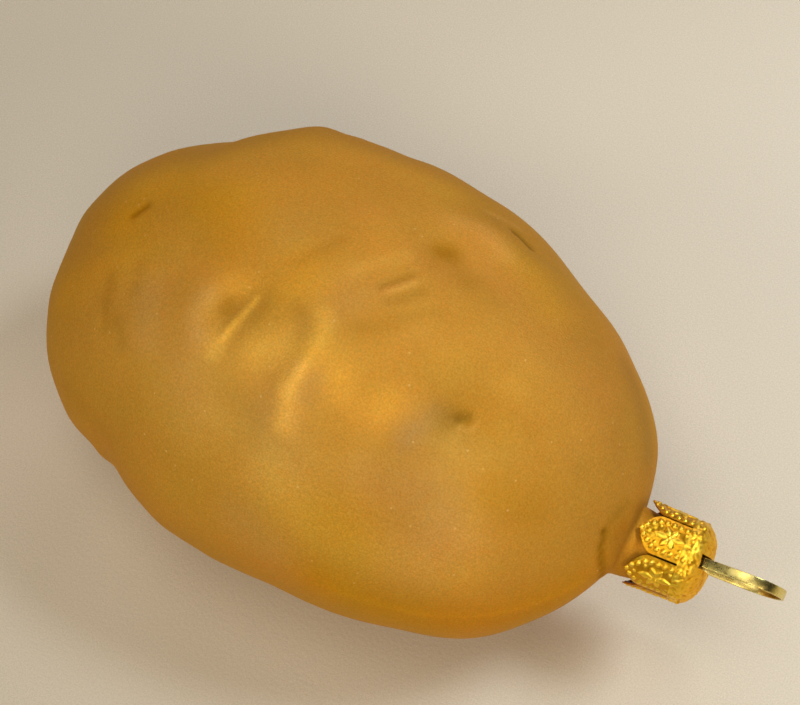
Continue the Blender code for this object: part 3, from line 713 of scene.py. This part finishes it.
def petal_relief(across, down):
    """A flower of six pointed petals about its middle, the two along the leaf the longest."""
    away, turn = np.hypot(across, down), np.arctan2(across, down)
    to_petal = np.abs((turn / (np.pi / 3) + 0.5) % 1 - 0.5) * (np.pi / 3)
    side_length, leaf_length = PETAL_LENGTHS
    length = np.where(np.abs(np.sin(turn)) < 0.5, leaf_length, side_length)
    along, off_axis = away * np.cos(to_petal), away * np.sin(to_petal)
    share = np.clip((along - PETAL_START) / (length - PETAL_START), 0, 1)
    half_width = PETAL_HALF_WIDTH * np.sin(np.pi * share**0.85)
    rounded = np.sqrt(np.clip(1 - (off_axis / np.maximum(half_width, 1e-6)) ** 2, 0, 1))
    return rounded * (half_width > 0.03)


def border_beads():
    """The beads inside the margins of a leaf, each with the same four values as a dot."""
    path = np.array(BEAD_PATH)
    length = np.concatenate([[0], np.cumsum(np.linalg.norm(np.diff(path, axis=0), axis=-1))])
    stations = np.linspace(0, length[-1], BEADS_PER_SIDE)
    side = np.stack([np.interp(stations, length, path[:, i]) for i in range(2)], -1)
    return [(middle, row, 1.0, BEAD_RADIUS) for middle, row in side]


def stamped_relief(across, down):
    """Height of the whole stamped pattern, from 0 to 1, at millimetres across and down."""
    height = 0.9 * petal_relief(across, down - FLOWER_DOWN)
    for middle, row, top, radius in [*border_beads(), *DOTS]:
        for side in (-1, 1):
            away = np.hypot(across - side * middle, down - row)
            height = np.maximum(height, top * dome(away, radius))
    return height


# Heights in millimetres. The pebbling is stronger on the top than on the leaves. It fades out
# inside a radius about the slot, in millimetres, and over a share of each leaf at its margins
RELIEF_HEIGHT = 0.24
TOP_PEBBLE_HEIGHT, LEAF_PEBBLE_HEIGHT = 0.14, 0.04
PEBBLES_PER_MM = 1.9
PEBBLE_FREE_RADIUS = 1.5
PEBBLE_FREE_MARGIN = 1 / 8
PATTERN_START = 2.0 * MM
MERGE_DISTANCE = 0.002 * MM

# One sixth of the cap is a flat grid, bent and stamped to its place, and then spun round to six
profile, profile_normals = sheet_profile()
row_count = len(profile) - 1
deselect_all()
bpy.ops.mesh.primitive_grid_add(
    x_subdivisions=LEAF_COLUMNS, y_subdivisions=row_count, size=2.0
)
cap = bpy.context.object
cap.name = "stamped_crown_cap"
flat = points_of(cap)
row = np.round((flat[:, 1] + 1) / 2 * row_count).astype(int)
x, radius, run = profile[row].T
half_angle = leaf_half_angle(run)
angle = flat[:, 0] * half_angle
across = angle * radius / MM
relief = stamped_relief(across, run / MM) * (run > PATTERN_START)
pebble_places = np.stack([run / MM, np.abs(across), radius / MM], -1) * PEBBLES_PER_MM
pebbled = np.array([noise.noise(Vector(place)) for place in pebble_places])
edge_fade = np.clip((1 - np.abs(flat[:, 0])) / PEBBLE_FREE_MARGIN, 0, 1)
pebble_height = np.where(run > BAND_END, LEAF_PEBBLE_HEIGHT, TOP_PEBBLE_HEIGHT)
pebble_height = pebble_height * np.clip(radius / MM - PEBBLE_FREE_RADIUS, 0, 1)
raised = (RELIEF_HEIGHT * relief + pebble_height * pebbled * edge_fade) * MM
stamped = np.clip(np.where(run > BAND_END, relief, 0.5 + pebbled), 0, 1)
cap.data.attributes.new("stamped", "FLOAT", "POINT").data.foreach_set("value", stamped)
normal_x, normal_out = profile_normals[row].T
x, radius = x + raised * normal_x, radius + raised * normal_out
angle = angle + np.radians(LEAF_TURN)
move_points(cap, np.stack([x, CAP_Y - radius * np.sin(angle), CAP_Z + radius * np.cos(angle)], -1))

bpy.ops.object.mode_set(mode="EDIT")
bpy.ops.mesh.select_all(action="SELECT")
bpy.ops.mesh.spin(
    steps=LEAF_COUNT - 1,
    dupli=True,
    angle=2 * np.pi * (LEAF_COUNT - 1) / LEAF_COUNT,
    center=(0.0, CAP_Y, CAP_Z),
    axis=(1.0, 0.0, 0.0),
)
bpy.ops.mesh.select_all(action="SELECT")
bpy.ops.mesh.remove_doubles(threshold=MERGE_DISTANCE)
bpy.ops.mesh.select_all(action="SELECT")
bpy.ops.mesh.normals_make_consistent(inside=False)
bpy.ops.object.mode_set(mode="OBJECT")
sheet = cap.modifiers.new("sheet", "SOLIDIFY")
sheet.thickness = CAP_SHEET
sheet.offset = -1.0
bpy.ops.object.modifier_apply(modifier="sheet")

# The slot for the hanger. The punch's middle goes in below the top by PUNCH_SINK of its depth. The
# slot leans about the neck as the hanger's ring does, and beyond the cap the ring is tilted to its
# flat side, both in degrees
SLOT_WIDTH = 2.0 * MM
SLOT_LENGTH = 10.0 * MM
SLOT_DEPTH = 2.8 * MM
PUNCH_SINK = 0.29
RING_LEAN = 23.2
RING_TILT = 1.4
HANGER_OFFSET = 0.36 * MM


def hanger_place(x, outward, widthways):
    """A point from the distances along the neck, across the ring and across the strip's width."""
    lean = np.radians(RING_LEAN)
    outward_way = np.array([0.0, -np.sin(lean), np.cos(lean)])
    width_way = np.array([0.0, -np.cos(lean), -np.sin(lean)])
    on_axis = np.stack([x, CAP_Y + 0 * x, CAP_Z + 0 * x], -1)
    sideways = np.multiply.outer(outward, outward_way)
    bent_over = np.tan(np.radians(RING_TILT)) * np.maximum(x - CAP_TOP_X, 0)
    across = widthways - HANGER_OFFSET - bent_over
    return on_axis + sideways + np.multiply.outer(across, width_way)


deselect_all()
bpy.ops.mesh.primitive_cube_add(size=1.0)
punch = bpy.context.object
depth_way, long_way, broad_way = points_of(punch).T
punch_x = CAP_TOP_X + SLOT_DEPTH * (depth_way - PUNCH_SINK)
move_points(punch, hanger_place(punch_x, SLOT_LENGTH * long_way, SLOT_WIDTH * broad_way))
select_only(cap)
cut = cap.modifiers.new("slot", "BOOLEAN")
cut.object = punch
cut.operation = "DIFFERENCE"
bpy.ops.object.modifier_apply(modifier="slot")
bpy.data.objects.remove(punch)
bpy.ops.object.shade_smooth_by_angle(angle=SHARP_EDGE)

# Bright gilding, worn paler in places, brown in the recesses and dull on the domed top, with
# painted shade, nearly black, on the inner face of the sheet
DOME_FROM, DOME_TO = 55.0 * MM, 57.5 * MM
SHADED_INSIDE_MIDDLE = (CAP_TOP_X - 6.0 * MM, CAP_Y, CAP_Z)

gilt = Finish("bright_gilding")
wear = gilt.ramp(
    gilt.noise(900.0, 3.0, 0.6),
    (0.30, (0.90, 0.53, 0.032)),
    (0.55, (0.98, 0.63, 0.046)),
    (0.75, (1.0, 0.72, 0.10)),
)
stamped_tone = gilt.tint(
    wear, gilt.attribute("stamped"), (0.0, (0.72, 0.56, 0.32)), (0.45, (1.0, 1.0, 1.0))
)
domed = gilt.along_x(DOME_FROM, DOME_TO)
stamped_tone = gilt.blend(domed, stamped_tone, (1.0, 0.88, 0.72), "MULTIPLY")
# The inner face of the sheet, which faces the middle of the cap, gets painted shade
from_inside = gilt.node("ShaderNodeVectorMath", operation="SUBTRACT")
from_inside.inputs[1].default_value = SHADED_INSIDE_MIDDLE
gilt.join(gilt.place, from_inside.inputs[0])
facing = gilt.node("ShaderNodeVectorMath", operation="DOT_PRODUCT")
gilt.join(from_inside.outputs["Vector"], facing.inputs[0])
gilt.join(gilt.node("ShaderNodeNewGeometry").outputs["True Normal"], facing.inputs[1])
free_of_painted_shade = gilt.spread(facing.outputs["Value"], -2.0 * MM, -1.0 * MM, 0.0, 1.0)
gilt.join(gilt.blend(free_of_painted_shade, (0.16, 0.09, 0.02), stamped_tone), gilt.shader.inputs["Base Color"])
gilt.shader.inputs["Metallic"].default_value = 1.0
dulling = gilt.node("ShaderNodeMath", operation="MAXIMUM")
gilt.join(gilt.spread(gilt.noise(1500.0, 2.0), 0.3, 0.7, 0.30, 0.44), dulling.inputs[0])
gilt.join(gilt.spread(domed, 0.0, 1.0, 0.30, 0.62), dulling.inputs[1])
gilt.join(dulling.outputs[0], gilt.shader.inputs["Roughness"])
gilt.join(gilt.bump(gilt.noise(2200.0, 2.0), 0.02 * MM), gilt.shader.inputs["Normal"])
gilt.coat(cap)
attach(cap, "root")
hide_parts("crown_cap")


# ---- The spring hanger ----
# A flat strip of springy brass, bent into a round loop. Its two legs pass through the slot in the
# cap and press apart inside the neck, which holds the cap on.

STRIP_WIDTH = 1.4 * MM
STRIP_THICKNESS = 0.4 * MM
STRIP_EDGE = 0.12 * MM
STRIP_EDGE_STEPS = 4
STRIP_SHARP_EDGE = np.radians(40)
LOOP_STEPS = 7

# Half of the strip's centre line, from a leg's foot to the far end of the loop: millimetres beyond
# the middle of the cap's top, and millimetres out from the middle of the loop
HALF_LOOP = [
    (-9.5, 2.1),
    (-8.5, 3.05),
    (-3.9, 3.05),
    (-2.5, 3.3),
    (-1.1, 4.3),
    (0.9, 4.9),
    (3.3, 5.45),
    (5.5, 5.65),
    (7.6, 5.25),
    (9.15, 4.05),
    (10.3, 2.2),
    (10.7, 0.0),
]


def strip_path():
    """The strip's centre line in its own plane, x and outward, from leg's foot to leg's foot."""
    half = np.array(HALF_LOOP) * MM + [CAP_TOP_X, 0.0]
    marks = np.concatenate([half, half[-2::-1] * [1, -1]])
    slopes = np.gradient(marks, axis=0)
    path = [marks[0]]
    for i in range(len(marks) - 1):
        for t in np.linspace(0, 1, LOOP_STEPS + 1)[1:]:
            start = (1 + 2 * t) * (1 - t) ** 2 * marks[i] + t * (1 - t) ** 2 * slopes[i]
            end = t**2 * (3 - 2 * t) * marks[i + 1] - t**2 * (1 - t) * slopes[i + 1]
            path.append(start + end)
    return np.array(path)


path = strip_path()
tangents = unit(np.gradient(path, axis=0))
normals = np.stack([-tangents[:, 1], tangents[:, 0]], -1)
deselect_all()
bpy.ops.mesh.primitive_plane_add(size=1.0)
hanger = bpy.context.object
hanger.name = "strip_hanger"
move_points(hanger, points_of(hanger) * [STRIP_THICKNESS, STRIP_WIDTH, 0])
bpy.ops.object.mode_set(mode="EDIT")
bpy.ops.mesh.select_all(action="SELECT")
bpy.ops.mesh.bevel(offset=STRIP_EDGE, segments=STRIP_EDGE_STEPS, affect="VERTICES")
bpy.ops.object.mode_set(mode="OBJECT")
section = points_of(hanger)
for layer, column in (("thick", 0), ("wide", 1)):
    made = hanger.data.attributes.new(layer, "FLOAT", "POINT")
    made.data.foreach_set("value", np.ascontiguousarray(section[:, column]))


def strip_place(step):
    """Where a point of the strip's section lies at this step of its path."""

    def place(thick, wide):
        x, outward = (path[step] + thick[:, None] * normals[step]).T
        return hanger_place(x, outward, wide)

    return place


move_points(hanger, strip_place(0)(section[:, 0], section[:, 1]))
bpy.ops.object.mode_set(mode="EDIT")
bpy.ops.mesh.select_mode(type="FACE")
bpy.ops.mesh.select_all(action="SELECT")
for step in range(1, len(path)):
    draw_out(hanger, ["thick", "wide"], strip_place(step))
bpy.ops.mesh.select_all(action="SELECT")
bpy.ops.mesh.normals_make_consistent(inside=False)
bpy.ops.object.mode_set(mode="OBJECT")
bpy.ops.object.shade_smooth_by_angle(angle=STRIP_SHARP_EDGE)

# Pale polished brass with a faint change of colour along the strip
brass = Finish("polished_strip_brass")
brass_tone = brass.ramp(
    brass.noise(700.0, 3.0), (0.3, (0.61, 0.465, 0.11)), (0.7, (0.80, 0.655, 0.23))
)
brass.join(brass_tone, brass.shader.inputs["Base Color"])
brass.shader.inputs["Metallic"].default_value = 1.0
polish = brass.spread(brass.noise(1200.0, 2.0), 0.3, 0.7, 0.22, 0.32)
brass.join(polish, brass.shader.inputs["Roughness"])
brass.join(brass.bump(brass.noise(1800.0, 2.0), 0.01 * MM), brass.shader.inputs["Normal"])
brass.coat(hanger)
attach(hanger, "root")
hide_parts("spring_hanger")


# ---- The table top, the light and the camera ----
# A plain pale table top under soft studio light, seen from the photograph's angle: 58 degrees above
# the table and 25 degrees round from the front.

TABLE_SIZE = 6.0

deselect_all()
bpy.ops.mesh.primitive_plane_add(size=TABLE_SIZE, location=(0, 0, 0))
table = bpy.context.object
table.name = "table_top"
paper = Finish("pale_table_top")
paper_tone = paper.ramp(
    paper.noise(9.0, 4.0), (0.3, (0.680, 0.590, 0.435)), (0.7, (0.700, 0.610, 0.457))
)
paper_tone = paper.tint(
    paper_tone, paper.noise(4200.0, 2.0), (0.3, (0.84, 0.84, 0.81)), (0.7, (1.0, 1.0, 1.0))
)
paper.join(paper_tone, paper.shader.inputs["Base Color"])
paper.shader.inputs["Roughness"].default_value = 0.75
paper.join(paper.bump(paper.noise(1500.0, 3.0), 0.08 * MM), paper.shader.inputs["Normal"])
paper.coat(table)

# Round soft boxes: place, diameter, watts and colour, all turned towards the potato's middle
POTATO_MIDDLE = Vector((0, 0, 0.02))
SOFT_LIGHTS = {
    "ceiling": ((-0.06, -0.20, 0.87), 0.45, 1.60, (1.0, 0.965, 0.94)),
    "behind_camera": ((0.25, -0.60, 0.70), 0.35, 1.77, (1.0, 0.90, 0.80)),
    "front_left": ((-0.45, -0.50, 0.45), 0.30, 1.24, (1.0, 0.965, 0.86)),
    "front_right": ((0.60, -0.45, 0.45), 0.30, 1.52, (1.0, 0.885, 0.81)),
    "back_left": ((-0.55, 0.45, 0.50), 0.30, 0.56, (0.92, 0.87, 0.95)),
    "back": ((-0.05, 0.70, 0.50), 0.40, 1.24, (1.0, 0.85, 0.92)),
    "low_front": ((-0.15, -0.75, 0.28), 0.30, 0.34, (0.86, 1.0, 0.95)),
}


def hang_lamp(kind, name, place, aim, power, colour):
    """A lamp at a place, turned towards its aim."""
    turned = (aim - Vector(place)).to_track_quat("-Z", "Y").to_euler()
    bpy.ops.object.light_add(type=kind, location=place, rotation=turned)
    lamp = bpy.context.object
    lamp.name = name
    lamp.data.energy = power
    lamp.data.color = colour
    return lamp


for name, (place, size, power, colour) in SOFT_LIGHTS.items():
    softbox = hang_lamp("AREA", name + "_softbox", place, POTATO_MIDDLE, power, colour)
    softbox.data.shape = "DISK"
    softbox.data.size = size

# A faint cool light from the window side, on the table behind the cap
WINDOW_PLACE, WINDOW_AIM = Vector((0.33, 0.20, 0.55)), Vector((0.13, 0.09, 0.0))
WINDOW_POWER, WINDOW_COLOUR = 15.2, (0.75, 0.86, 1.0)
window = hang_lamp(
    "SPOT", "window_side_light", WINDOW_PLACE, WINDOW_AIM, WINDOW_POWER, WINDOW_COLOUR
)
window.data.shadow_soft_size = 0.12
window.data.spot_size = 0.75
window.data.spot_blend = 1.0

# A little light from the room all round
ROOM_COLOUR, ROOM_STRENGTH = (0.95, 0.90, 0.84, 1.0), 0.025
world = bpy.data.worlds.new("room")
bpy.context.scene.world = world
world.use_nodes = True
world.node_tree.nodes["Background"].inputs["Color"].default_value = ROOM_COLOUR
world.node_tree.nodes["Background"].inputs["Strength"].default_value = ROOM_STRENGTH

# The camera looks a little to the right of the potato's middle and above it
AZIMUTH, ELEVATION, DISTANCE = 25.0, 58.0, 0.350
AIM_HEIGHT, AIM_RIGHT, AIM_UP = 27.5 * MM, 7.4 * MM, 3.54 * MM
SENSOR_WIDTH = 36.0
FOCAL_PIXELS, FRAME_PIXELS = 2408, 800

azimuth, elevation = np.radians([AZIMUTH, ELEVATION])
level = np.cos(elevation)
back = np.array([np.sin(azimuth) * level, -np.cos(azimuth) * level, np.sin(elevation)])
right = np.array([np.cos(azimuth), np.sin(azimuth), 0.0])
target = np.array([0, 0, AIM_HEIGHT]) + AIM_RIGHT * right + AIM_UP * np.cross(back, right)
bpy.ops.object.camera_add(
    location=target + DISTANCE * back, rotation=(np.radians(90.0) - elevation, 0.0, azimuth)
)
camera = bpy.context.object
camera.name = "camera"
camera.data.sensor_width = SENSOR_WIDTH
camera.data.lens = SENSOR_WIDTH * FOCAL_PIXELS / FRAME_PIXELS
camera.data.clip_start = 0.01
bpy.context.scene.camera = camera
bpy.context.scene.view_settings.view_transform = "Standard"
